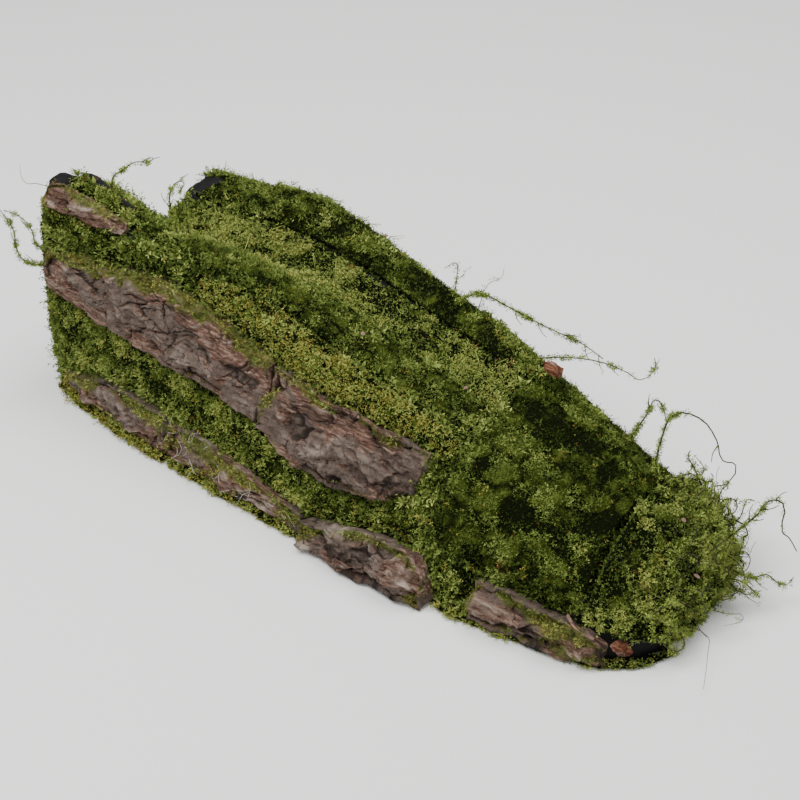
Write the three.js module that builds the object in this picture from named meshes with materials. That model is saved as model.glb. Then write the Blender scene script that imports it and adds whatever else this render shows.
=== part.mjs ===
// A mossy display log: a black foam core with a flat base, bark slabs and moss mats glued round it,
// and wiry moss runners that stand out of the moss. Millimetres, +Z up. +X points to the rounded nose,
// -Y to the bark side. The origin is the middle of the flat base.
import * as THREE from "three";

// ---- driving dimensions ----------------------------------------------------------------------------

// The core's cross-section at each station from the sawn end to the nose, as [y, z] points. Eight lines run
// the length of the log: front foot, front flank, ridge, shoulder, valley, crest, back flank, back foot.
const STATIONS = [
  { x: -226, frontFoot: -54, ridge: [-44, 142], shoulder: [-8, 123], valley: [30, 74], crest: [81, 95], backFoot: 96 },
  { x: -175, frontFoot: -66, ridge: [-38, 124], shoulder: [-10, 110], valley: [28, 78], crest: [78, 97], backFoot: 96 },
  { x: -122, frontFoot: -75, ridge: [-34, 113], shoulder: [-8, 107], valley: [22, 88], crest: [66, 113], backFoot: 94 },
  { x: -66, frontFoot: -80, ridge: [-33, 107], shoulder: [-8, 103], valley: [16, 94], crest: [56, 111], backFoot: 90 },
  { x: -8, frontFoot: -84, ridge: [-35, 94], shoulder: [-14, 93], valley: [10, 89], crest: [46, 100], backFoot: 84 },
  { x: 50, frontFoot: -89, ridge: [-38, 79], shoulder: [-18, 81], valley: [6, 81], crest: [38, 89], backFoot: 76 },
  { x: 105, frontFoot: -84, ridge: [-42, 66], shoulder: [-24, 70], valley: [0, 73], crest: [31, 71], backFoot: 68 },
  { x: 156, frontFoot: -78, ridge: [-44, 52], shoulder: [-28, 60], valley: [-6, 63], crest: [23, 54], backFoot: 58 },
];
const CUT_SLANT = 0.1; // the sawn end's lean: how far it runs towards the nose for each mm across
const SLANTED_STATIONS = 2; // the slant dies out over this many stations
const FLANK_BULGE = 7; // how far the flanks swell beyond a straight line from foot to ridge
const FLANK_HEIGHT = 0.5; // where on that line the flank's own line runs
const NOSE_LENGTH = 54;
const NOSE_ANGLES = [38, 64, 84]; // degrees round the nose at which its rings stand
const NOSE_BLUNTNESS = 0.62; // below 1 keeps the nose full before it turns in

const RING_SEGMENTS = 30;
const LENGTH_SEGMENTS = 26;
const END_MIDDLE = 0.35; // height of the end faces' middle as a share of the valley's

const LEVEL_BELOW = 25; // below this height the glued pieces stand straight out from the core
const GLUE = 1.8; // gap between the core's surface and what is glued on it
const STEM_SIDES = 4;
const STEM_START = 12; // stems begin at this height above the core, clear of the moss mats

// ---- the core's surface ----------------------------------------------------------------------------

function sectionPoints({ x, frontFoot, ridge, shoulder, valley, crest, backFoot }, station) {
  const slant = CUT_SLANT * Math.max(0, 1 - station / SLANTED_STATIONS);
  const flank = (foot, top, side) => [
    foot + (top[0] - foot) * FLANK_HEIGHT + side * FLANK_BULGE,
    top[1] * FLANK_HEIGHT,
  ];
  return [
    [frontFoot, 0],
    flank(frontFoot, ridge, -1),
    ridge,
    shoulder,
    valley,
    crest,
    flank(backFoot, crest, 1),
    [backFoot, 0],
  ].map(([y, z]) => new THREE.Vector3(x + slant * (y - ridge[0]), y, z));
}

function noseSections(last) {
  const middle = (last[0].y + last.at(-1).y) / 2;
  return NOSE_ANGLES.map((degrees) => {
    const angle = THREE.MathUtils.degToRad(degrees);
    const share = Math.cos(angle) ** NOSE_BLUNTNESS;
    const x = last[0].x + NOSE_LENGTH * Math.sin(angle);
    return last.map(({ y, z }) => new THREE.Vector3(x, middle + (y - middle) * share, z * share));
  });
}

const straight = STATIONS.map(sectionPoints);
const sections = [...straight, ...noseSections(straight.at(-1))];
const LAST_STATION = sections.length - 1;
const LAST_LINE = sections[0].length - 1;
const lines = sections[0].map((_, k) => new THREE.CatmullRomCurve3(sections.map((s) => s[k])));

// The point at station u, from 0 at the sawn end, and line v, from 0 at the front foot.
function surfacePoint(u, v) {
  const across = new THREE.CatmullRomCurve3(lines.map((line) => line.getPoint(u / LAST_STATION)));
  return across.getPoint(v / LAST_LINE);
}

// The direction straight out of that surface, level near the floor so that nothing leans under the base.
function surfaceNormal(u, v) {
  const step = 0.02;
  const ahead = surfacePoint(Math.min(u + step, LAST_STATION), v);
  const behind = surfacePoint(Math.max(u - step, 0), v);
  const up = surfacePoint(u, Math.min(v + step, LAST_LINE));
  const down = surfacePoint(u, Math.max(v - step, 0));
  const normal = ahead.sub(behind).cross(up.sub(down)).normalize();
  const rise = Math.min(1, surfacePoint(u, v).z / LEVEL_BELOW);
  return normal.setZ(normal.z * rise).normalize();
}

const onLog = (u, v, height) => surfacePoint(u, v).addScaledVector(surfaceNormal(u, v), height);

// On the sawn end, u runs from the middle (0) to the rim (1).
function onSawnEnd(u, v, height) {
  const middle = surfacePoint(0, 0).add(surfacePoint(0, LAST_LINE)).multiplyScalar(0.5);
  middle.setZ(surfacePoint(0, 4).z * END_MIDDLE);
  const p = middle.lerp(surfacePoint(0, v), u);
  return p.setX(p.x - height);
}

// ---- pieces ----------------------------------------------------------------------------------------

const materials = {
  core: new THREE.MeshStandardMaterial({ color: 0x1b1b1c, roughness: 0.75 }),
  bark: new THREE.MeshStandardMaterial({ color: 0x6b5750, roughness: 0.9 }),
  chip: new THREE.MeshStandardMaterial({ color: 0x8a4b32, roughness: 0.85 }),
  moss: new THREE.MeshStandardMaterial({ color: 0x4c6123, roughness: 0.95 }),
  stem: new THREE.MeshStandardMaterial({ color: 0x5d6b33, roughness: 0.8 }),
};

const log = new THREE.Group();

function add(name, geometry, material) {
  const mesh = new THREE.Mesh(geometry, material);
  mesh.name = name;
  log.add(mesh);
}

// A closed cylinder whose rings are moved onto the core's sections. Its last segment round is the base.
function coreGeometry() {
  const geometry = new THREE.CylinderGeometry(1, 1, 1, RING_SEGMENTS, LENGTH_SEGMENTS);
  const place = geometry.attributes.position;
  for (let i = 0; i < place.count; i++) {
    const u = (0.5 - place.getY(i)) * LAST_STATION;
    const radius = Math.hypot(place.getX(i), place.getZ(i));
    const turn = Math.atan2(place.getX(i), place.getZ(i)) / (2 * Math.PI);
    const round = Math.round(((turn + 1) % 1) * RING_SEGMENTS) % RING_SEGMENTS;
    const rim = surfacePoint(u, (round / (RING_SEGMENTS - 1)) * LAST_LINE);
    const middle = surfacePoint(u, 0).add(surfacePoint(u, LAST_LINE)).multiplyScalar(0.5);
    middle.setZ(surfacePoint(u, 4).z * END_MIDDLE);
    const p = radius < 0.5 ? middle : rim;
    place.setXYZ(i, p.x, p.y, p.z);
  }
  return geometry;
}

const outline = (points) => {
  const curve = new THREE.CatmullRomCurve3(points.map(([u, v]) => new THREE.Vector3(u, v, 0)));
  return (s) => curve.getPoint(s);
};

// A slab glued on the log. lower and upper are its two long edges as [u, v] points. The outside stands
// thickness above the glue line in the middle, falls to edge x thickness at its rim, and is lumpy.
function slab({ lower, upper, thickness, edge, lump = 0.15, cells = [10, 4], onto = onLog, glue = GLUE }) {
  const low = outline(lower);
  const high = outline(upper);
  const geometry = new THREE.BoxGeometry(1, 1, 1, cells[0], cells[1], 1);
  const place = geometry.attributes.position;
  for (let i = 0; i < place.count; i++) {
    const s = place.getX(i) + 0.5;
    const t = place.getY(i) + 0.5;
    const { x: u, y: v } = low(s).lerp(high(s), t);
    const inside = Math.sin(Math.PI * s) * Math.sin(Math.PI * t);
    const swell = edge + (1 - edge) * Math.min(1, 1.6 * inside);
    const lumps = 1 + lump * Math.sin(9.3 * u + 2.1) * Math.sin(14.7 * v + 1.3 * u);
    const height = place.getZ(i) < 0 ? glue : glue + thickness * swell * lumps;
    const p = onto(u, v, height);
    place.setXYZ(i, p.x, p.y, p.z);
  }
  return geometry;
}

const bark = (name, options) => add(name, slab({ thickness: 10, edge: 0.7, ...options }), materials.bark);
const moss = (name, options) => add(name, slab({ thickness: 9, edge: 0.45, ...options }), materials.moss);

// A small broken bit lying on the log: size is along, across and thick, and turn is in degrees.
function chip(name, u, v, height, [along, across, thick], turn = 0) {
  const geometry = new THREE.DodecahedronGeometry(0.5);
  geometry.scale(along, across, thick).rotateZ(THREE.MathUtils.degToRad(turn));
  const normal = surfaceNormal(u, v);
  const grain = surfacePoint(u + 0.05, v).sub(surfacePoint(u - 0.05, v));
  const across2 = normal.clone().cross(grain).normalize();
  const place = new THREE.Matrix4().makeBasis(across2.clone().cross(normal), across2, normal);
  geometry.applyMatrix4(place.setPosition(onLog(u, v, height + thick / 2)));
  add(name, geometry, materials.chip);
}

// A wiry moss stem through the given points. It begins above [u, v] on the log.
function stem(name, [u, v, height = STEM_START], points, thickness, steps = 12) {
  const start = onLog(u, v, height);
  const path = new THREE.CatmullRomCurve3([start, ...points.map((p) => new THREE.Vector3(...p))]);
  const round = new THREE.Shape();
  for (let i = 0; i < STEM_SIDES; i++) {
    const angle = (i / STEM_SIDES) * 2 * Math.PI;
    const [x, y] = [Math.cos(angle) * thickness * 0.5, Math.sin(angle) * thickness * 0.5];
    i ? round.lineTo(x, y) : round.moveTo(x, y);
  }
  const geometry = new THREE.ExtrudeGeometry(round, { steps, extrudePath: path });
  add(name, geometry, materials.stem);
}

add("core", coreGeometry(), materials.core);

// ---- bark on the front ----
bark("bark_end_chip", {
  lower: [[0.04, 1.74], [0.5, 1.8], [1.15, 1.88]],
  upper: [[0.04, 1.97], [0.6, 2.02], [1.15, 2.0]],
  cells: [7, 3],
});
bark("bark_upper_left", {
  lower: [[0.1, 1.09], [1, 1.1], [2, 1.07], [2.85, 1.03], [3.26, 0.98]],
  upper: [[0.1, 1.4], [0.95, 1.56], [1.85, 1.72], [2.85, 1.58], [3.32, 1.54]],
  thickness: 12,
  cells: [16, 5],
});
bark("bark_upper_right", {
  lower: [[3.3, 0.97], [3.9, 0.8], [4.35, 0.8], [4.85, 1.0], [5.16, 1.24]],
  upper: [[3.36, 1.53], [4.15, 1.54], [4.6, 1.6], [4.95, 1.67], [5.2, 1.69]],
  thickness: 12,
  cells: [12, 5],
});
bark("bark_lower_left", {
  lower: [[0.25, 0.13], [1, 0.13], [2.1, 0.13]],
  upper: [[0.25, 0.25], [1.1, 0.48], [1.6, 0.53], [2.1, 0.5]],
  cells: [9, 3],
});
bark("bark_lower_middle", {
  lower: [[2.13, 0.13], [3, 0.13], [4.08, 0.13]],
  upper: [[2.13, 0.5], [2.7, 0.47], [3.25, 0.4], [4.08, 0.31]],
  cells: [9, 3],
});
bark("bark_lower_right", {
  lower: [[4.13, 0.06], [4.9, 0.06], [5.62, 0.06]],
  upper: [[4.13, 0.32], [4.5, 0.43], [4.95, 0.63], [5.4, 0.63], [5.62, 0.36]],
  thickness: 17,
  cells: [9, 4],
});
bark("bark_nose", {
  lower: [[6.15, 0.13], [7, 0.13], [7.85, 0.15]],
  upper: [[6.1, 0.7], [6.65, 0.8], [7.2, 0.78], [7.85, 0.56]],
  thickness: 13,
  cells: [9, 4],
});

// ---- moss on the front ----
moss("moss_front_top", {
  lower: [[0.04, 1.44], [0.95, 1.6], [1.5, 1.73], [2.1, 1.76]],
  upper: [[0.04, 1.7], [0.5, 1.76], [1.2, 1.85], [2.1, 1.94]],
  cells: [10, 3],
});
moss("moss_rim", {
  lower: [[2.14, 1.75], [2.85, 1.62], [3.36, 1.58], [4.15, 1.58], [4.65, 1.65], [5.4, 1.79]],
  upper: [[2.14, 1.94], [3, 1.96], [4.2, 1.96], [5.4, 1.96]],
  thickness: 10,
  cells: [14, 4],
});
moss("moss_gully", {
  lower: [[0.1, 0.3], [1.1, 0.53], [1.6, 0.58], [2.7, 0.52], [4.08, 0.36], [5, 0.67], [5.4, 0.7]],
  upper: [[0.1, 1.05], [1, 1.06], [2, 1.03], [3.2, 0.91], [3.9, 0.72], [4.4, 0.72], [4.95, 0.97], [5.4, 1.3]],
  thickness: 6,
  cells: [18, 5],
});
moss("moss_foot_left", {
  lower: [[0.15, 0.03], [1.2, 0.03], [2.1, 0.03]],
  upper: [[0.15, 0.1], [1.2, 0.1], [2.1, 0.1]],
  thickness: 12,
  edge: 0.8,
  cells: [9, 1],
});
moss("moss_foot_middle", {
  lower: [[2.16, 0.03], [3.1, 0.03], [4.08, 0.03]],
  upper: [[2.16, 0.1], [3.1, 0.1], [4.08, 0.1]],
  thickness: 10,
  edge: 0.8,
  cells: [9, 1],
});
moss("moss_gap_front", {
  lower: [[5.7, 0.13], [5.88, 0.13], [6.07, 0.13]],
  upper: [[5.68, 0.72], [5.85, 0.73], [6.02, 0.74]],
  cells: [3, 4],
});
moss("moss_end_front", {
  lower: [[5.24, 1.36], [5.32, 1.37], [5.4, 1.38]],
  upper: [[5.26, 1.68], [5.33, 1.69], [5.4, 1.7]],
  thickness: 8,
  cells: [2, 3],
});
moss("moss_foot_nose", {
  lower: [[5.7, 0.03], [7, 0.03], [8.1, 0.03], [9.4, 0.05]],
  upper: [[5.7, 0.1], [7, 0.1], [8.1, 0.1], [9.4, 0.13]],
  edge: 0.8,
  cells: [12, 1],
});

// ---- moss on the top, the nose and the sawn end ----
moss("moss_ridge_end", {
  lower: [[0.16, 2.07], [0.6, 2.07], [1.13, 2.07]],
  upper: [[0.16, 2.3], [0.5, 2.42], [1.13, 2.46]],
  thickness: 6,
  cells: [6, 3],
});
moss("moss_ridge", {
  lower: [[1.18, 2.07], [3, 2], [4, 2], [5.4, 2]],
  upper: [[1.18, 3.4], [2.6, 3.42], [4, 3.4], [5.4, 3.4]],
  cells: [15, 6],
});
moss("moss_valley", {
  lower: [[0.5, 3.6], [1.1, 3.45], [3, 3.46], [5.4, 3.44]],
  upper: [[0.3, 4.5], [1.1, 4.48], [3, 4.48], [5.4, 4.5]],
  thickness: 8,
  cells: [17, 5],
});
moss("moss_hump", {
  lower: [[0.16, 4.56], [1.6, 4.52], [3.3, 4.52]],
  upper: [[0.3, 5.5], [1.6, 5.55], [3.3, 5.55]],
  thickness: 9,
  cells: [13, 5],
});
moss("moss_crest", {
  lower: [[3.35, 4.52], [4.2, 4.52], [5.4, 4.54]],
  upper: [[3.35, 5.6], [4.2, 5.6], [5.4, 5.6]],
  thickness: 8,
  cells: [9, 5],
});
moss("moss_saddle", {
  lower: [[5.45, 0.8], [6.1, 0.84], [6.8, 0.86], [7.4, 0.84]],
  upper: [[5.45, 5.6], [6.1, 5.6], [6.8, 5.6], [7.4, 5.6]],
  cells: [9, 18],
});
moss("moss_nose", {
  lower: [[7.45, 0.82], [8.3, 0.74], [9, 0.7], [9.9, 0.7]],
  upper: [[7.45, 6.2], [8.3, 6.3], [9, 6.3], [9.9, 6.3]],
  thickness: 11,
  edge: 0.7,
  cells: [8, 20],
});
moss("moss_sawn_end", {
  lower: [[0.97, 0.1], [0.97, 0.9], [0.97, 1.75]],
  upper: [[0.35, 0.3], [0.4, 0.9], [0.45, 1.6]],
  onto: onSawnEnd,
  thickness: 13,
  edge: 0.75,
  cells: [6, 4],
});

// ---- the back ----
bark("bark_back_far", {
  lower: [[0.4, 5.66], [1.5, 5.64], [2.75, 5.66]],
  upper: [[0.3, 6.5], [1.5, 6.6], [2.75, 6.5]],
  cells: [10, 4],
});
bark("bark_back_near", {
  lower: [[3.3, 5.72], [4.4, 5.68], [5.9, 5.72]],
  upper: [[3.2, 6.6], [4.4, 6.68], [5.9, 6.6]],
  cells: [11, 4],
});
moss("moss_back_gap", {
  lower: [[2.8, 5.66], [2.98, 5.64], [3.17, 5.66]],
  upper: [[2.8, 6.8], [2.98, 6.84], [3.14, 6.8]],
  cells: [3, 5],
});
moss("moss_back_foot", {
  lower: [[0.3, 6.64], [1.4, 6.7], [2.75, 6.62]],
  upper: [[0.3, 6.95], [1.4, 6.96], [2.75, 6.95]],
  cells: [9, 2],
});
moss("moss_back_nose", {
  lower: [[5.96, 5.66], [6.6, 5.66], [7.4, 5.66]],
  upper: [[5.96, 6.92], [6.6, 6.92], [7.4, 6.92]],
  cells: [6, 5],
});

// ---- loose bits ----
chip("chip_crest", 5.6, 4.75, 11, [15, 11, 6], 10);
chip("chip_nose_slab", 8.16, 0.5, 1.2, [10, 14, 7], 60);

// ---- wiry stems ----
stem("stem_top_left", [0.75, 2.2], [[-190, -31, 149], [-187, -24, 153], [-182, -18, 157], [-175, -13, 156]], 2.2);
stem("stem_top_curl", [1.5, 2.5], [[-157, -18, 139], [-158, -12, 147], [-154, -8, 148], [-155, -11, 143]], 1.8);
stem("stem_top_side", [1.5, 2.8], [[-152, -9, 136], [-150, -7, 143], [-142, -4, 142]], 1.4);
stem("stem_left_long", [0.1, 1.26], [[-234, -69, 94], [-241, -68, 101], [-246, -64, 109], [-257, -63, 119]], 2);
stem("stem_left_short", [0.1, 1.4], [[-231, -61, 103], [-236, -58, 109], [-245, -59, 117], [-254, -63, 120]], 1.8);
stem("stem_left_wire", [0.12, 1.9], [[-225, -60, 147], [-231, -62, 146], [-236, -61, 149], [-238, -59, 155]], 1);
stem("stem_runner_upper", [4.3, 4.86], [[21, 47, 108], [37, 54, 102], [58, 61, 93], [80, 70, 84], [93, 73, 77]], 2);
stem(
  "stem_runner_lower",
  [5.2, 4.8],
  [[89, 43, 93], [105, 52, 91], [118, 58, 86], [125, 60, 83], [129, 69, 89], [127, 71, 93]],
  1.8,
);
stem("stem_crest_twig", [4.25, 4.95], [[6, 48, 117], [4, 50, 121], [-1, 45, 118]], 1.4);
stem("stem_crest_hair", [4.5, 5.1], [[22, 57, 110], [27, 63, 113], [26, 67, 117]], 1.2);
stem("stem_arch_small", [6.6, 4.98], [[142, 41, 80], [143, 46, 85], [148, 47, 80], [151, 45, 75]], 2);
stem(
  "stem_arch_large",
  [7.1, 4.74],
  [[159, 27, 79], [160, 36, 88], [172, 43, 87], [184, 43, 77], [190, 41, 67], [197, 43, 66], [196, 33, 55]],
  2,
  16,
);
stem(
  "stem_nose_loop",
  [8.85, 5.33, 16],
  [[217, 36, 46], [219, 43, 51], [226, 46, 51], [231, 39, 38], [235, 40, 35], [241, 39, 29]],
  1.8,
);
stem("stem_nose_curl", [9.25, 5.37, 16], [[227, 16, 19], [233, 22, 20], [238, 23, 17], [243, 26, 15], [245, 30, 19]], 1.6);
stem("stem_nose_side", [9.5, 5.6, 16], [[227, 9, 12], [234, 15, 14]], 1.6, 6);
stem("stem_nose_bend", [9.7, 2.2, 16], [[228, -14, 15], [236, -9, 13], [229, -17, 9]], 1.2, 8);
stem("stem_nose_drop", [9.4, 1.15, 16], [[228, -33, 12], [231, -38, 8], [241, -60, 3]], 1.2, 10);

// The origin is the middle of the underside of the whole, stems and all.
const middle = new THREE.Box3().setFromObject(log).getCenter(new THREE.Vector3());
for (const mesh of log.children) {
  mesh.geometry.translate(-middle.x, -middle.y, 0);
}

export default log;
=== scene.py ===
"""A mossy display log on a pale floor: foam core, bark slabs, moss mats and wiry moss stems."""

import math

import bpy
import numpy as np
from mathutils import Matrix, Vector
from mathutils.bvhtree import BVHTree
from mathutils.kdtree import KDTree


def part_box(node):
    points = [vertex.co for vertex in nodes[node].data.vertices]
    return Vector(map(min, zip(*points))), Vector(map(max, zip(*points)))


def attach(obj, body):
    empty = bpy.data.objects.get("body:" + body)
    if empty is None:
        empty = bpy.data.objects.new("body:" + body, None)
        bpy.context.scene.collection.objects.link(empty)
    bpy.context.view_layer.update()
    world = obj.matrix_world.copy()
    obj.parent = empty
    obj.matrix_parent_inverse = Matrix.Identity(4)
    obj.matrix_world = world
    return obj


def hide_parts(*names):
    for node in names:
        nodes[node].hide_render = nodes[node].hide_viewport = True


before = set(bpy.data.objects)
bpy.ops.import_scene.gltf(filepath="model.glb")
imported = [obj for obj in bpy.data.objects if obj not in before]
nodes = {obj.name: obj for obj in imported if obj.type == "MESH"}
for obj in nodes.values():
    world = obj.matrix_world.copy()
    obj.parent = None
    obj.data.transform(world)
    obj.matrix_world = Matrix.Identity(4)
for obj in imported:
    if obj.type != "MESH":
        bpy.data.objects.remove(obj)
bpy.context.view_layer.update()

MM = 0.001
CORE_LOW = Vector((-227.25, -89.0, 0.0))  # the core's low corner in the log's own drawing, in mm
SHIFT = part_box("core")[0] - CORE_LOW * MM
MIDLINE_HEIGHT = 0.03  # what faces away from the log's middle line at this height is its outside
NOSE_LENGTH = 0.05
FLOOR_GAP = 0.0003  # nothing loose or rough lies lower than this
GOLDEN_TURN = 2.4  # each leaf stands this far round its stalk from the last, in radians
CORE_VOXEL, BED_VOXEL = 0.0035, 0.0021
BARK_VOXEL, BACK_VOXEL, CHIP_VOXEL = 0.0009, 0.0014, 0.0006


def at(x, y, z):
    """A point of the log's own drawing, in mm, as a place in the frame."""
    return Vector((x, y, z)) * MM + SHIFT


# ---- mesh helpers ----


def select_only(*things):
    bpy.ops.object.select_all(action="DESELECT")
    for thing in things:
        thing.select_set(True)
    bpy.context.view_layer.objects.active = things[0]


def linked(name, data):
    """A new object in the scene."""
    made = bpy.data.objects.new(name, data)
    bpy.context.scene.collection.objects.link(made)
    return made


def shade_smooth(piece):
    select_only(piece)
    bpy.ops.object.shade_smooth()


def coords(thing):
    flat = np.empty(len(thing.data.vertices) * 3)
    thing.data.vertices.foreach_get("co", flat)
    return flat.reshape(-1, 3)


def set_coords(thing, places):
    thing.data.vertices.foreach_set("co", places.astype(np.float32).ravel())
    thing.data.update()


def normals(thing):
    flat = np.empty(len(thing.data.vertices) * 3, np.float32)
    thing.data.vertex_normals.foreach_get("vector", flat)
    return flat.reshape(-1, 3).astype(float)


def set_attribute(thing, name, values):
    attribute = thing.data.attributes.new(name, "FLOAT", "POINT")
    attribute.data.foreach_set("value", np.asarray(values, np.float32))


def from_cad(node, name, voxel):
    """A new piece made from a CAD solid: its faces are joined up and remade as even squares."""
    piece = linked(name, nodes[node].data.copy())
    select_only(piece)
    piece.data.materials.clear()
    bpy.ops.object.mode_set(mode="EDIT")
    bpy.ops.mesh.select_all(action="SELECT")
    bpy.ops.mesh.remove_doubles(threshold=1e-5)
    bpy.ops.mesh.normals_make_consistent(inside=False)
    bpy.ops.object.mode_set(mode="OBJECT")
    piece.data.remesh_voxel_size = voxel
    bpy.ops.object.voxel_remesh()
    return piece


def soften(piece, factor, rounds):
    """Rounds a piece off with the Smooth modifier."""
    select_only(piece)
    smooth = piece.modifiers.new("smooth", "SMOOTH")
    smooth.factor = factor
    smooth.iterations = rounds
    bpy.ops.object.modifier_apply(modifier=smooth.name)


def outward(places, facing, sawn_end=False):
    """How far each point faces away from the inside of the log, from -1 to 1."""
    if sawn_end:
        return -facing[:, 0]
    away = places.copy()
    away[:, 2] = np.maximum(places[:, 2] - MIDLINE_HEIGHT, 0.02)
    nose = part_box("core")[1].x - NOSE_LENGTH
    away[:, 0] = np.clip(places[:, 0] - nose, 0, None)
    away /= np.linalg.norm(away, axis=1, keepdims=True) + 1e-9
    return (away * facing).sum(1)


def finish_piece(piece, material, slot, *replaced):
    piece.data.materials.clear()
    piece.data.materials.append(material)
    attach(piece, "root")
    if replaced:
        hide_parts(*replaced)


# ---- seeded noise on points ----


def lattice(cells, seed):
    """A steady random number from 0 to 1 for each whole-number cell."""
    mixed = (cells * np.array([374761393, 668265263, 2147483647])).sum(-1) + seed * 1274126177
    mixed = (mixed ^ (mixed >> 13)) * 1103515245
    mixed = mixed ^ (mixed >> 16)
    return (mixed & 0xFFFFFF) / float(0xFFFFFF)


def noise(places, size, seed):
    """Smooth noise from -1 to 1. size is one number in metres, or one for each axis."""
    scaled = places / np.asarray(size, float)
    cell = np.floor(scaled).astype(np.int64)
    part = scaled - cell
    part = part * part * (3 - 2 * part)
    total = np.zeros(len(places))
    for corner in range(8):
        step = np.array([corner & 1, corner >> 1 & 1, corner >> 2 & 1])
        weight = np.where(step, part, 1 - part).prod(1)
        total += weight * lattice(cell + step, seed)
    return total * 2 - 1


def rough_noise(places, size, seed, octaves=4):
    size = np.asarray(size, float)
    layers = [noise(places, size / 2**k, seed + k) / 2**k for k in range(octaves)]
    return sum(layers) / sum(1 / 2**k for k in range(octaves))


def plates(places, size, seed):
    """Broken plates: a steady random number for each plate, and 0 at its edge to more inside it."""
    scaled = places / np.asarray(size, float)
    cell = np.floor(scaled).astype(np.int64)
    near = np.full(len(places), 9.0)
    second = np.full(len(places), 9.0)
    own = np.zeros(len(places))
    for i in (-1, 0, 1):
        for j in (-1, 0, 1):
            for k in (-1, 0, 1):
                other = cell + np.array([i, j, k])
                jitter = np.stack([lattice(other, seed + a) for a in (11, 12, 13)], 1)
                away = np.linalg.norm(other + jitter - scaled, axis=1)
                closer = away < near
                second = np.where(closer, near, np.minimum(second, away))
                own = np.where(closer, lattice(other, seed + 14), own)
                near = np.where(closer, away, near)
    return own, second - near


def ramp(value, low, high):
    part = np.clip((value - low) / (high - low), 0, 1)
    return part * part * (3 - 2 * part)


# ---- materials ----


class Wire:
    """One output in a material's nodes, so that shader maths reads as a Python expression."""

    def __init__(self, finish, socket):
        self.finish, self.socket = finish, socket

    def maths(self, operation, first, second=0.0):
        return self.finish.node("ShaderNodeMath", {"operation": operation}, {0: first, 1: second})

    def __add__(self, other):
        return self.maths("ADD", self, other)

    __radd__ = __add__

    def __sub__(self, other):
        return self.maths("SUBTRACT", self, other)

    def __rsub__(self, other):
        return self.maths("SUBTRACT", other, self)

    def __mul__(self, other):
        return self.maths("MULTIPLY", self, other)

    def between(self, low, high):
        """0 below low, 1 above high, smooth in between."""
        settings = {"interpolation_type": "SMOOTHSTEP"}
        inputs = {0: self, 1: low, 2: high, 3: 0.0, 4: 1.0}
        return self.finish.node("ShaderNodeMapRange", settings, inputs)


class Finish:
    """A procedural material under construction."""

    def __init__(self, name, **constants):
        self.material = bpy.data.materials.new(name)
        self.material.use_nodes = True
        self.tree = self.material.node_tree
        self.shader = self.tree.nodes["Principled BSDF"]
        for name, value in constants.items():
            socket = name.replace("_", " ").title().replace("Ior", "IOR")
            self.shader.inputs[socket].default_value = value

    def node(self, kind, settings=None, inputs=None, output=0):
        made = self.tree.nodes.new(kind)
        for key, value in (settings or {}).items():
            if key == "stops":
                self.set_stops(made.color_ramp, value)
            else:
                setattr(made, key, value)
        for key, value in (inputs or {}).items():
            self.feed(made.inputs[key], value)
        return Wire(self, made.outputs[output])

    def set_stops(self, band, stops):
        while len(band.elements) < len(stops):
            band.elements.new(1.0)
        for element, (place, colour) in zip(band.elements, stops):
            element.position = place
            element.color = (*colour, 1.0)

    def feed(self, socket, value):
        if isinstance(value, Wire):
            self.tree.links.new(value.socket, socket)
        elif socket.type == "RGBA":
            socket.default_value = (*value, 1.0)
        else:
            socket.default_value = value

    def colours(self, factor, stops):
        return self.node("ShaderNodeValToRGB", {"stops": stops}, {0: factor})

    def mix(self, factor, first, second, blend="MIX"):
        settings = {"data_type": "RGBA", "blend_type": blend}
        return self.node("ShaderNodeMix", settings, {0: factor, 6: first, 7: second}, output=2)

    def place(self, scale=(1, 1, 1)):
        here = self.node("ShaderNodeTexCoord", output=3)
        return self.node("ShaderNodeMapping", None, {0: here, 3: scale})

    def grain(self, size_mm, detail=4.0, rough=0.55, stretch=(1, 1, 1)):
        inputs = {"Vector": self.place(stretch), "Scale": 1 / (size_mm * MM)}
        inputs.update(Detail=detail, Roughness=rough)
        return self.node("ShaderNodeTexNoise", None, inputs)

    def attribute(self, name):
        return self.node("ShaderNodeAttribute", {"attribute_name": name}, output=2)

    def bump(self, height, strength, distance_mm):
        inputs = {"Strength": strength, "Distance": distance_mm * MM, "Height": height}
        return self.node("ShaderNodeBump", None, inputs)

    def palette(self):
        """The palette map's two ways: across and up."""
        here = self.node("ShaderNodeUVMap", {"uv_map": "OFBake"})
        across = self.node("ShaderNodeSeparateXYZ", None, {0: here})
        return across, Wire(self, across.socket.node.outputs[1])

    def finished(self, **links):
        for name, value in links.items():
            self.feed(self.shader.inputs[name.replace("_", " ").title()], value)
        return self.material


def foam_black():
    finish = Finish("foam_black", ior=1.3)
    cells = finish.grain(2.2, detail=3.0)
    dust = finish.grain(18.0, detail=5.0).between(0.55, 0.8)
    base = finish.mix(dust * 0.3, (0.0035, 0.0035, 0.0035), (0.022, 0.02, 0.016))
    bumps = finish.bump(cells, 0.35, 0.5)
    return finish.finished(base_color=base, roughness=0.6 + cells * 0.25, normal=bumps)


BARK_LOOKS = ("depth", "torn", "step", "green", "pale")  # the first look is painted shade: 0 in cracks, low hollows and on steep step sides; step is 1 on edges


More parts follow.
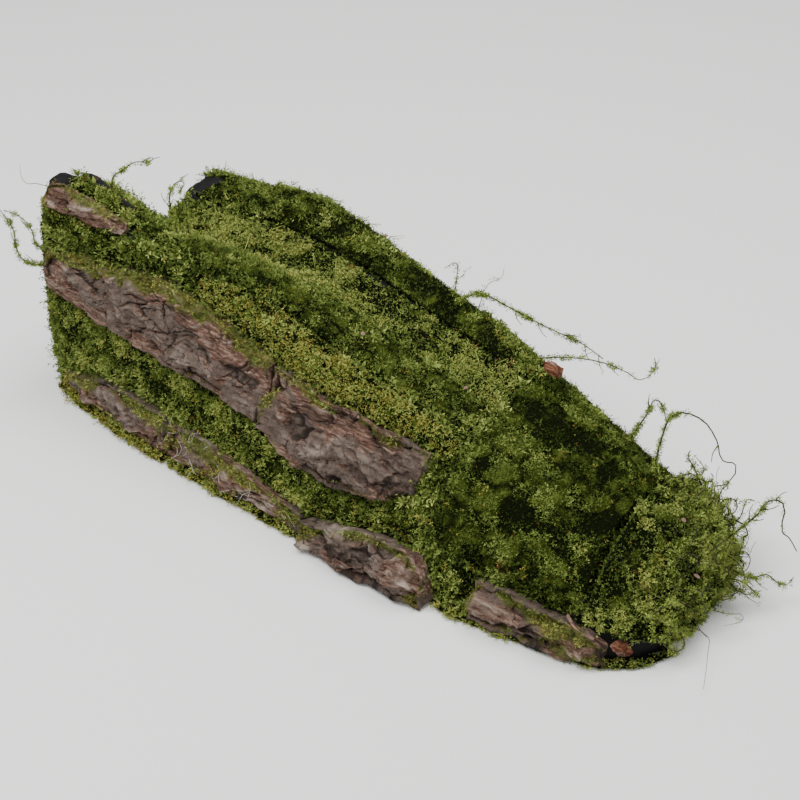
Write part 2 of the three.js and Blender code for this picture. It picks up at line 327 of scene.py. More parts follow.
def bark_skin(name="bark_skin", redness=0.0):
    """Bark. redness runs from 0 for grey bark to 1 for red-brown chips."""
    finish = Finish(name, ior=1.35)
    depth, torn, step, green, pale = map(finish.attribute, BARK_LOOKS)
    fine = finish.grain(1.0, detail=5.0, rough=0.7)
    patch = finish.grain(7.0, detail=7.0, rough=0.68)
    string = finish.grain(1.5, detail=4.0, rough=0.6, stretch=(0.16, 1, 1))
    crackle = finish.node(
        "ShaderNodeTexVoronoi",
        {"feature": "DISTANCE_TO_EDGE"},
        {"Vector": finish.place((0.55, 1, 1)), "Scale": 1 / 0.0055, "Randomness": 1.0},
    )
    # Crackle lines: grooves in the bump, and painted shade where they darken the colour
    shaded_crackle = 1 - (crackle + (fine - 0.5) * 0.16).between(0.0, 0.05)
    shaded_crackle = shaded_crackle * patch.between(0.45, 0.65) * (1 - torn * 0.8)
    grey = finish.colours(
        patch * 0.55 + fine * 0.45,
        [(0.34, (0.042, 0.025, 0.018)), (0.5, (0.116, 0.083, 0.064)), (0.68, (0.225, 0.172, 0.14))],
    )
    red = finish.colours(
        string * 0.6 + fine * 0.25 + patch * 0.15,
        [(0.36, (0.03, 0.012, 0.007)), (0.5, (0.12, 0.062, 0.041)), (0.64, (0.34, 0.225, 0.17))],
    )
    reddened = (torn + step * 0.7 + (patch - 0.5) * 0.5).between(0.25, 0.7)
    skin = finish.mix(reddened * (1 - redness) + redness, grey, red)
    skin = finish.mix(redness, skin, finish.mix(1.0, skin, (1.15, 0.7, 0.42), "MULTIPLY"))
    # The pale look is mostly painted highlight on raised plates and fibre ridges, with worn pale
    # patches
    skin = finish.mix(pale * (0.4 + fine), skin, (0.5, 0.42, 0.35))
    # Painted shade: near black in the cracks and low hollows of the bark, darker on steep step
    # sides
    dark = (1 - depth.between(0.05, 0.55)) * 0.92
    skin = finish.mix(dark, skin, (0.01, 0.005, 0.003))
    # Painted shade along the crackle lines
    skin = finish.mix(shaded_crackle * 0.85, skin, (0.014, 0.008, 0.005))
    speck = finish.grain(0.8, detail=3.0)
    dusted = (green + (speck - 0.5) * 0.9 + (patch - 0.5) * 0.8).between(0.35, 0.62)
    dust = finish.colours(
        speck, [(0.3, (0.02, 0.024, 0.002)), (0.6, (0.11, 0.12, 0.012)), (0.8, (0.24, 0.24, 0.04))]
    )
    skin = finish.mix(dusted * 0.8, skin, dust)
    bumps = finish.bump(fine + patch * 1.5 + string * torn * 1.5 - shaded_crackle * 1.2, 0.9, 1.1)
    return finish.finished(base_color=skin, roughness=0.66 + fine * 0.25, normal=bumps)


def moss_leaf():
    """Reads only the palette map: across it is the shoot's tone, and up it is from root to tip."""
    finish = Finish("moss_leaf", ior=1.15)
    across, up = finish.palette()
    tone = finish.colours(
        across,
        [
            (0.0, (0.008, 0.013, 0.002)),
            (0.2, (0.034, 0.052, 0.008)),
            (0.42, (0.108, 0.152, 0.034)),
            (0.62, (0.225, 0.29, 0.08)),
            (0.8, (0.39, 0.455, 0.15)),
            (0.9, (0.4, 0.35, 0.09)),
            (1.0, (0.15, 0.072, 0.028)),
        ],
    )
    # Darker towards the root: painted shade deep in the moss, and in part the older lower leaves
    root = finish.mix(1.0, tone, (0.5, 0.53, 0.36), "MULTIPLY")
    tip = finish.mix(1.0, tone, (1.22, 1.22, 1.05), "MULTIPLY")
    colour = finish.mix(up.between(0.1, 1.0), root, tip)
    return finish.finished(base_color=colour, roughness=0.7 + up * 0.1)


def moss_bed():
    finish = Finish("moss_bed", ior=1.1)
    clump = finish.attribute("clump")
    fine = finish.grain(1.1, detail=4.0)
    base = finish.colours(
        fine * 0.6 + clump * 0.4,
        [(0.25, (0.01, 0.014, 0.002)), (0.5, (0.044, 0.06, 0.008)), (0.75, (0.13, 0.165, 0.03))],
    )
    # Painted shade: near black in the gaps between cushions and on faces turned in; lighter on
    # cushion tops
    base = finish.mix(clump.between(0.08, 0.5), (0.0045, 0.0065, 0.0018), base)
    bumps = finish.bump(fine, 0.9, 1.2)
    return finish.finished(base_color=base, roughness=0.85 + fine * 0.1, normal=bumps)


def stem_skin():
    """Wiry stems: across the palette map is from black wire to leaf green to pale web thread."""
    finish = Finish("stem_skin", ior=1.3)
    across, up = finish.palette()
    tone = finish.colours(
        across,
        [
            (0.0, (0.012, 0.012, 0.008)),
            (0.3, (0.05, 0.042, 0.016)),
            (0.55, (0.09, 0.12, 0.018)),
            (0.86, (0.3, 0.38, 0.075)),
            (1.0, (0.52, 0.5, 0.44)),
        ],
    )
    colour = finish.mix(up * 0.5, tone, finish.mix(1.0, tone, (1.5, 1.5, 1.3), "MULTIPLY"))
    return finish.finished(base_color=colour, roughness=0.55 + up * 0.15)


FOAM, BARK, LEAF, BED, STEM = foam_black(), bark_skin(), moss_leaf(), moss_bed(), stem_skin()
CHIP = bark_skin("chip_skin", 0.85)


# ---- sprigs ----


def leaflet():
    """One moss leaf, modelled once: a narrow kite along +Y, folded along its midrib."""
    bpy.ops.object.select_all(action="DESELECT")
    bpy.ops.mesh.primitive_plane_add(size=1, location=(0, 0, 0))
    leaf = bpy.context.object
    bpy.ops.object.mode_set(mode="EDIT")
    bpy.ops.mesh.select_all(action="SELECT")
    bpy.ops.transform.rotate(value=math.pi / 4, orient_axis="Z", center_override=(0, 0, 0))
    bpy.ops.transform.resize(value=(0.26, 0.7071, 1))
    bpy.ops.transform.translate(value=(0, 0.5, 0))
    bpy.ops.object.mode_set(mode="OBJECT")
    sides = [v for v in leaf.data.vertices if abs(v.co.x) > 0.05]
    for side in sides:
        side.co.y += 0.05
        side.co.z += 0.12
    places = coords(leaf)
    lowest, highest = places.argmin(0), places.argmax(0)
    order = [lowest[1], lowest[0], highest[1], highest[0]]
    bpy.data.objects.remove(leaf)
    return places[order], np.array([[0, 3, 2], [0, 2, 1]])


LEAF_PLACES, LEAF_FACES = leaflet()


def turn(axis, angle):
    return np.array(Matrix.Rotation(angle, 3, axis))


def shoot(rng, leaves, spread, leaf_length, bend, stalk=True):
    """A shoot one unit long along +Z that bends towards +X, with leaves all round it.

    Gives its places, its faces and how high up each place is.
    """
    places, faces, height = [], [], []

    def spine(t):
        return np.array([bend * t * t, 0.12 * bend * math.sin(4 * t), t * (1 - 0.35 * bend * t)])

    for t in (0.0, 1.0) if stalk else ():
        thick = 0.05 * (1 - 0.7 * t)
        for k in range(3):
            angle = k * 2 * math.pi / 3
            places.append(spine(t) + [thick * math.cos(angle), thick * math.sin(angle), 0])
            height.append(t)
    for k in range(3) if stalk else ():
        a, b = k, (k + 1) % 3
        faces += [[a, b, b + 3], [a, b + 3, a + 3]]
    for i in range(leaves):
        t = 0.15 + 0.85 * (i + 0.5) / leaves
        size = leaf_length * (1.15 - 0.5 * t) * rng.uniform(0.75, 1.25)
        side = i * GOLDEN_TURN + rng.uniform(-0.5, 0.5)
        lean = spread * (1.15 - 0.5 * t) * rng.uniform(0.7, 1.3)
        turned = turn("Z", side) @ turn("X", math.pi / 2 - lean) @ turn("Y", rng.uniform(-0.9, 0.9))
        leaf = (LEAF_PLACES * size) @ turned.T + spine(t)
        faces += (LEAF_FACES + len(places)).tolist()
        places += leaf.tolist()
        height += [t * 0.7, t * 0.7 + 0.2, t * 0.7 + 0.4, t * 0.7 + 0.2]
    return np.array(places), np.array(faces), np.clip(height, 0, 1)


def fanned(roots, axes, sizes, tones, rng, shoots, spread=1.35):
    """Domes of shoots, one at each root: the shoots' roots, axes, lengths, tones and tip lightness,
    which is painted light.
    """
    axes = axes / np.linalg.norm(axes, axis=1, keepdims=True)
    side = np.cross(axes, rng.normal(size=axes.shape))
    side /= np.linalg.norm(side, axis=1, keepdims=True)
    wide = (len(roots), shoots)
    lean = spread * np.sqrt((np.arange(shoots) + 0.3) / shoots) + rng.uniform(-0.15, 0.15, wide)
    roll = (np.arange(shoots) * GOLDEN_TURN + rng.uniform(-0.4, 0.4, wide))[..., None]
    flat = np.cos(roll) * side[:, None] + np.sin(roll) * np.cross(axes, side)[:, None]
    heading = axes[:, None] * np.cos(lean)[..., None] + flat * np.sin(lean)[..., None]
    starts = roots[:, None] + (flat * 0.13 - axes[:, None] * 0.1) * sizes[:, None, None]
    lengths = sizes[:, None] * rng.uniform(0.72, 1.12, wide)
    # Painted light: upright shoots on top of the dome get lighter tips than those leaning out over
    # its sides
    tip_light = (0.62 + 0.38 * np.cos(lean)) * rng.uniform(0.8, 1.0, wide)
    tones = tones[:, None] + rng.normal(size=wide) * 0.03
    starts, heading = starts.reshape(-1, 3), heading.reshape(-1, 3)
    return starts, heading, lengths.ravel(), tones.ravel(), tip_light.ravel()


def whorl(rng, count):
    """A few loose leaves round one root, one unit high."""
    places, faces, height = [], [], []
    for i in range(count):
        turned = turn("Z", i * GOLDEN_TURN + rng.uniform(-0.6, 0.6))
        turned = turned @ turn("X", rng.uniform(0.5, 1.3)) @ turn("Y", rng.uniform(-1, 1))
        faces += (LEAF_FACES + len(places)).tolist()
        leaf = (LEAF_PLACES * rng.uniform(0.8, 1.2)) @ turned.T + [0, 0, rng.uniform(0, 0.3)]
        places += leaf.tolist()
        height += [0.1, 0.45, 0.8, 0.45]
    return np.array(places), np.array(faces), np.array(height)


def bare_shoots(rng, count, leaves, leaf_length):
    """Moss shoots without a stalk, each bent by its own amount."""
    return [
        shoot(rng, leaves, 1.15, leaf_length, rng.uniform(0.15, 0.75), stalk=False)
        for _ in range(count)
    ]


shape_rng = np.random.default_rng(4)
WHORLS = [whorl(shape_rng, 4) for _ in range(6)]
FRONDS = [shoot(shape_rng, 5, 1.0, 0.6, 0.3 + 0.15 * k, stalk=False) for k in range(4)]
STRANDS = [shoot(shape_rng, 12, 0.8, 0.2, 0.4 + 0.15 * k) for k in range(4)]
SHOOTS = bare_shoots(shape_rng, 12, 9, 0.3)
LOW_SHOOTS = bare_shoots(shape_rng, 9, 6, 0.42)


def mesh_from_arrays(name, places, faces, palette):
    mesh = bpy.data.meshes.new(name)
    mesh.vertices.add(len(places))
    mesh.vertices.foreach_set("co", places.astype(np.float32).ravel())
    mesh.loops.add(faces.size)
    mesh.loops.foreach_set("vertex_index", faces.astype(np.int32).ravel())
    mesh.polygons.add(len(faces))
    mesh.polygons.foreach_set("loop_start", np.arange(0, faces.size, 3, dtype=np.int32))
    layer = mesh.uv_layers.new(name="OFBake")
    layer.uv.foreach_set("vector", palette[faces.ravel()].astype(np.float32).ravel())
    mesh.update(calc_edges=True)
    return linked(name, mesh)


def planted(shapes, roots, axes, lengths, tones, rng, tip_light=None):
    """Copies of the shapes, one at each root: their places, faces and palette places."""
    axes = axes / np.linalg.norm(axes, axis=1, keepdims=True)
    other = np.cross(axes, rng.normal(size=axes.shape))
    other /= np.linalg.norm(other, axis=1, keepdims=True)
    third = np.cross(axes, other)
    frames = np.stack([other, third, axes], 2)
    kinds = rng.integers(0, len(shapes), len(roots))
    tip_light = np.ones(len(roots)) if tip_light is None else tip_light
    all_places, all_faces, all_palette, used = [], [], [], 0
    for kind, (shape, faces, height) in enumerate(shapes):
        mine = kinds == kind
        count = int(mine.sum())
        if not count:
            continue
        moved = np.einsum("nij,kj->nki", frames[mine], shape) * lengths[mine][:, None, None]
        moved += roots[mine][:, None, :]
        tone = np.repeat(tones[mine][:, None], len(shape), 1)
        palette = np.stack([tone, height[None] * tip_light[mine][:, None]], 2)
        starts = used + np.arange(count) * len(shape)
        all_places.append(moved.reshape(-1, 3))
        all_palette.append(palette.reshape(-1, 2))
        all_faces.append((faces[None] + starts[:, None, None]).reshape(-1, 3))
        used += count * len(shape)
    palette = np.clip(np.concatenate(all_palette), 0.004, 0.996)
    return np.concatenate(all_places), np.concatenate(all_faces), palette


# ---- moss mats ----

HOLLOWS = [  # gaps between the clumps, which sink the moss bed and darken its shoots as painted shade: balls or rows of balls, with their radius in mm
    ([(-228, -61, 50), (-171, -67, 49), (-119, -70, 45), (-63, -74, 39), (-14, -78, 33)], 5.5),
    ([(-95, -27, 118), (-65, -20, 115), (-35, -21, 109), (-3, -26, 102)], 5),
    ([(23, -31, 96), (49, -29, 90), (70, -26, 87)], 6),
    ([(158, -40, 63), (172, -34, 65), (184, -33, 61)], 8),
    ([(104, -7, 82), (116, 0, 79), (130, 1, 77)], 8),
    ([(-118, 36, 108), (-105, 34, 110)], 6),
    ([(-90, 37, 113), (-80, 45, 117)], 7),
    ([(-52, 32, 111), (-40, 30, 110)], 7),
    ([(-22, 20, 102), (-8, 14, 99)], 7),
    ([(7, 10, 95), (14, 6, 93)], 6),
    ([(11, 35, 105)], 6),
    ([(44, 22, 96), (56, 18, 93)], 7),
    ([(80, 0, 85), (90, 2, 83)], 7),
    ([(90, -47, 75)], 7),
    ([(117, -61, 57)], 7),
    ([(148, -11, 73)], 7),
    ([(177, -7, 67)], 6),
    ([(207, -23, 47), (212, -22, 38)], 7),
    ([(206, -58, 18), (212, -45, 16)], 6),
    ([(186, 22, 56)], 6),
    ([(154, 33, 58)], 6),
    ([(111, -84, 21), (100, -80, 30)], 7),
]


def near_row(places, row):
    """How far each point is from a row of straight pieces, in mm."""
    points = [np.array(at(*point)) for point in row]
    nearest = np.full(len(places), 1e3)
    for a, b in zip(points, points[1:] or points):
        run = ((b - a) ** 2).sum()
        t = np.clip((places - a) @ (b - a) / run, 0, 1) if run else np.zeros(len(places))
        away = np.linalg.norm(places - a - t[:, None] * (b - a), axis=1)
        nearest = np.minimum(nearest, away / MM)
    return nearest


def hollowness(places):
    """From 0 to 1: how deep in a gap between clumps each point is; the moss there is sunk and also
    painted dark as shade.
    """
    deep = np.clip(noise(places, 0.02, 71) * 1.9 - 0.7, 0, 1)
    deep = np.maximum(deep, 0.8 * np.clip(noise(places, 0.012, 73) * 2.0 - 0.8, 0, 1))
    ragged = 1 + 0.45 * noise(places, 0.008, 72) + 0.35 * noise(places, 0.004, 74)
    for row, radius in HOLLOWS:
        far = near_row(places, row) * ragged
        deep = np.maximum(deep, 1 - ramp(far, 0.55 * radius, 1.35 * radius))
    back_half = ramp(places[:, 1] - SHIFT.y, -0.015, 0.02)
    nose_end = ramp(places[:, 0] - SHIFT.x, 0.07, 0.12) * 0.75
    return deep * (0.25 + 0.95 * np.maximum(back_half, nose_end))


def clumpiness(places):
    """From 0 in the gaps to 1 on top of each cushion of moss."""
    wavy = places + 0.004 * np.stack([noise(places, 0.013, k) for k in (1, 2, 3)], 1)
    own, edge = plates(wavy, 0.019, 31)
    small, small_edge = plates(wavy, 0.0085, 32)
    cushions = ramp(edge, -0.04, 0.5) * (0.62 + 0.38 * own)
    heads = ramp(small_edge, -0.02, 0.42) * (0.55 + 0.45 * small)
    return np.clip(cushions * 0.5 + heads * 0.5 - 0.8 * hollowness(places), 0, 1)


BARE = [  # where the black foam stays bare: capsules from one point to another, with a radius in mm
    ((-224, -19, 131), (-205, -21, 129), (-186, -23, 123), 7),
    ((-226, -44, 142), (-224, -40, 142), 7),
    ((-212, 62, 90), (-200, 72, 96), 6),
    ((184, -70, 4), (208, -44, 2), 13),
]
BARE_MATS = ("moss_ridge_end", "moss_ridge", "moss_hump")


def bareness(places, wider=0.0):
    """True in the capsules where no moss grows."""
    bare = np.zeros(len(places), bool)
    for *row, radius in BARE:
        bare |= near_row(places, row) < radius + wider
    return bare


def tree_of(*names):
    """One search tree for the faces of CAD solids."""
    corners, faces = [], []
    for name in names:
        mesh = nodes[name].data
        faces += [[v + len(corners) for v in face.vertices] for face in mesh.polygons]
        corners += [v.co.copy() for v in mesh.vertices]
    return BVHTree.FromPolygons(corners, faces)


def thickness_below(tree, places, facing, reach=0.02):
    """How much of the solid lies under each point, up to reach, in metres."""
    starts = places - facing * 0.0008
    hits = (tree.ray_cast(Vector(p), Vector(-n), reach)[3] for p, n in zip(starts, facing))
    return np.array([reach if hit is None else hit for hit in hits])


def face_samples(places, corners, keep, rng, spacing):
    """Random places at least spacing apart, with their normals. keep weighs the mesh's faces."""
    p = places[corners]
    cross = np.cross(p[:, 1] - p[:, 0], p[:, 2] - p[:, 0])
    area = np.linalg.norm(cross, axis=1) / 2
    out = cross / (2 * area[:, None] + 1e-15)
    weight = area * keep(p.mean(1), out)
    tries = 2.6  # for each square of the spacing, which is enough to fill it
    count = int(tries * weight.sum() / spacing**2)
    if count < 2:
        return np.zeros((0, 3)), np.zeros((0, 3))
    pick = rng.choice(len(weight), count, p=weight / weight.sum())
    mix = rng.random((count, 2))
    mix = np.where(mix.sum(1, keepdims=True) > 1, 1 - mix, mix)
    p = p[pick]
    found = p[:, 0] + mix[:, :1] * (p[:, 1] - p[:, 0]) + mix[:, 1:] * (p[:, 2] - p[:, 0])
    taken, kept = {}, []
    for i, cell in enumerate(map(tuple, np.floor(found / spacing).astype(int))):
        near = (
            other
            for a in (-1, 0, 1)
            for b in (-1, 0, 1)
            for c in (-1, 0, 1)
            for other in taken.get((cell[0] + a, cell[1] + b, cell[2] + c), ())
        )
        if all(((found[i] - found[j]) ** 2).sum() > spacing**2 for j in near):
            taken.setdefault(cell, []).append(i)
            kept.append(i)
    return found[kept], out[pick][kept]


def triangles(piece):
    piece.data.calc_loop_triangles()
    corners = np.empty(len(piece.data.loop_triangles) * 3, np.int32)
    piece.data.loop_triangles.foreach_get("vertices", corners)
    return corners.reshape(-1, 3)


def tones_at(roots, tone, rng, brown=0.02):
    """Each shoot's place on the palette: brighter on the cushions and darker in the gaps, which is
    painted light and shade, with drifts and dead ones.
    """
    count = len(roots)
    # Painted light on cushion tops and painted shade in the gaps between them
    level = tone + 0.6 * (clumpiness(roots) - 0.5) + 0.1 * noise(roots, 0.022, 91)
    level = np.clip(level + rng.normal(size=count) * 0.06, 0.02, 0.82)
    dry = rng.random(count) < brown
    level = np.where(dry, rng.uniform(0.85, 0.93, count), level)
    return np.where(rng.random(count) < 0.006, 0.99, level)


def plant(name, roots, out, size, tone, rng, shapes=SHOOTS, shoots=7, wild=0.3, brown=0.02):
    """A piece of moss tufts at the roots, each of a few shoots. size is in mm."""
    count = len(roots)
    axes = out + rng.normal(size=(count, 3)) * wild
    axes -= out * np.minimum((axes * out).sum(1, keepdims=True) - 0.15, 0)
    sizes = size * MM * rng.uniform(0.75, 1.2, count) * (0.65 + 0.55 * clumpiness(roots))
    tones = tones_at(roots, tone, rng, brown)
    tip_light = None
    if shoots > 1:
        roots, axes, sizes, tones, tip_light = fanned(roots, axes, sizes, tones, rng, shoots)
    moved, faces, palette = planted(shapes, roots, axes, sizes, tones, rng, tip_light)
    moved[:, 2] = np.maximum(moved[:, 2], FLOOR_GAP)
    finish_piece(mesh_from_arrays(name, moved, faces, palette), LEAF, "moss")


LEAF_SIZE, STRAND_GAP = 2.1, 7.5  # in mm


def moss_mat(
    node, seed, tone, size=5.5, spacing=4.3, sunk=5.0, relief=3.5, leaf_gap=1.1, strands=0,
    shapes=SHOOTS, brown=0.02,
):
    """A bed of moss with tufts planted all over it. Lengths are in mm.

    The bed lies sunk below the solid's surface, and relief is how much higher its cushions stand
    than its gaps. strands is the length of the long combed shoots, and 0 is for none.
    """
    rng = np.random.default_rng(seed)
    sawn_end = node == "moss_sawn_end"
    bed = from_cad(node, node + "_bed", BED_VOXEL)
    soften(bed, 0.5, 2)
    places, facing = coords(bed), normals(bed)
    away = ramp(outward(places, facing, sawn_end), -0.1, 0.4)
    clump = clumpiness(places)
    down = (sunk + 2.0 * relief * (0.5 - clump)) * away * MM
    down = np.minimum(down, 0.7 * thickness_below(tree_of(node), places, facing))
    places = places - facing * down[:, None]
    places[:, 2] = np.maximum(places[:, 2], 0.0004)
    set_coords(bed, places)
    # The bed's colour mask is low in the gaps and on faces turned in towards the log: painted shade
    set_attribute(bed, "clump", clump * (0.3 + 0.7 * away))
    shade_smooth(bed)
    finish_piece(bed, BED, "moss", node)

    def keep(middle, out):
        facing_out = ramp(outward(middle, out, sawn_end), -0.45, 0.0)
        grows = facing_out * (0.16 + 0.84 * clumpiness(middle)) * (middle[:, 2] > 0.0006)
        return grows * ~bareness(middle) if node in BARE_MATS else grows

    def samples(gap):
        return face_samples(places, triangles(bed), keep, rng, gap * MM)

    plant(node + "_tufts", *samples(spacing), size, tone, rng, shapes, brown=brown)
    plant(node + "_leaves", *samples(leaf_gap), LEAF_SIZE, tone - 0.05, rng, WHORLS, 1, 0.6, brown)
    if strands:
        roots, out = samples(STRAND_GAP)
        comb = np.array([0.9, -0.5, 0]) + 0.4 * rng.normal(size=(len(roots), 3))
        axes = out * 0.12 + comb - out * (comb * out).sum(1, keepdims=True)
        lengths = strands * MM * rng.uniform(0.6, 1.2, len(roots))
        tones = tones_at(roots, tone + 0.12, rng)
        made = planted(STRANDS, roots + out * 0.003, axes, lengths, tones, rng)
        finish_piece(mesh_from_arrays(node + "_strands", *made), LEAF, "moss", node)


LOW = dict(shapes=LOW_SHOOTS, relief=2)
FOOT = dict(LOW, spacing=3.4, sunk=1.5)
BACK = dict(spacing=5.4)
MATS = {  # the seed of each mat, its tone on the palette and what else differs
    "moss_front_top": (2, 0.6, {}),
    "moss_rim": (3, 0.88, dict(
        LOW, size=3.2, spacing=3.3, sunk=3, relief=2.2, leaf_gap=0.95, brown=0.4
    )),
    "moss_gully": (4, 0.74, dict(size=5.0, sunk=3, relief=3, brown=0.05)),
    "moss_foot_left": (5, 0.92, dict(FOOT, size=5.4, brown=0.7)),
    "moss_foot_middle": (6, 0.9, dict(FOOT, size=4.6, brown=0.3)),
    "moss_foot_nose": (7, 0.9, dict(FOOT, size=4.8, brown=0.2)),
    "moss_gap_front": (21, 0.58, dict(brown=0.06)),
    "moss_end_front": (22, 0.6, {}),
    "moss_ridge_end": (8, 0.68, dict(size=4.5, sunk=3, relief=2)),
    "moss_ridge": (9, 0.62, {}),
    "moss_valley": (10, 0.92, dict(strands=9, brown=0.03, leaf_gap=0.9)),
    "moss_hump": (11, 0.61, dict(strands=9)),
    "moss_crest": (12, 0.66, {}),
    "moss_saddle": (13, 0.51, {}),
    "moss_nose": (14, 0.79, dict(leaf_gap=0.98, sunk=6, relief=4.5)),
    "moss_sawn_end": (15, 0.5, dict(spacing=5.8)),
    "moss_back_gap": (16, 0.5, BACK),
    "moss_back_foot": (17, 0.52, BACK),
    "moss_back_nose": (18, 0.5, BACK),
}
for node, (seed, tone, more) in MATS.items():
    moss_mat(node, seed, tone, **more)


# ---- core ----

core = from_cad("core", "foam_core", CORE_VOXEL)
soften(core, 0.5, 6)
places, facing = coords(core), normals(core)
swell = np.zeros(len(places))  # the bare foam on top stands up out of the moss
for *row, radius in BARE[:3]:
    swell = np.maximum(swell, 1 - ramp(near_row(places, row), 0.3 * radius, 1.5 * radius))
rise = rough_noise(places, 0.012, 3) * 0.0006 + 0.0011 + 0.0035 * swell
places = places + facing * rise[:, None]
places[places[:, 2] < 0.003, 2] = 0.0
set_coords(core, places)
shade_smooth(core)
finish_piece(core, FOAM, "core", "core")


def gap_moss():
    """Moss on the core itself wherever no slab or mat covers it."""
    cover = tree_of(*(name for name in nodes if name.startswith(("bark", "moss", "chip"))))
    rng = np.random.default_rng(50)

    def ground(middle, out):
        return (out[:, 2] > -0.25) & (middle[:, 2] > 0.003) & ~bareness(middle, 3)

    def seen(middle, out):
        in_front = (out[:, 0] > -0.7) & ((out[:, 1] < 0.5) | (out[:, 2] > 0.4))
        return ground(middle, out) & in_front

    def hidden(middle, out):
        return ground(middle, out) & ~seen(middle, out)

    layers = [  # name, place, spacing and size in mm, shapes and how many to a root
        ("moss_seam_tufts", seen, 2.2, 9.0, SHOOTS, 4),
        ("moss_seam_leaves", seen, 1.5, 5.0, WHORLS, 1),
        ("moss_end_tufts", hidden, 4.2, 7.0, SHOOTS, 6),
    ]
    for name, where, spacing, size, shapes, shoots in layers:
        roots, out = face_samples(coords(core), triangles(core), where, rng, spacing * MM)
        free = [cover.ray_cast(Vector(p), Vector(n), 0.018)[0] is None for p, n in zip(roots, out)]
        plant(name, roots[free], out[free], size, 0.6, rng, shapes, shoots, wild=0.45)


gap_moss()


# ---- bark ----


def near_points(places, others):
    """How far each place is from the nearest of the others, in mm."""
    tree = KDTree(len(others[::4]))
    for i, other in enumerate(others[::4]):
        tree.insert(other, i)
    tree.balance()
    return np.array([tree.find(place)[2] or 0.0 for place in places]) / MM


def shifted(places, size, seeds, reach):
    """The places moved about by seeded noise, by up to reach on each of the first two axes."""
    waves = np.stack([noise(places, size, seed) for seed in seeds], 1)
    return waves * [*reach, 0.0]


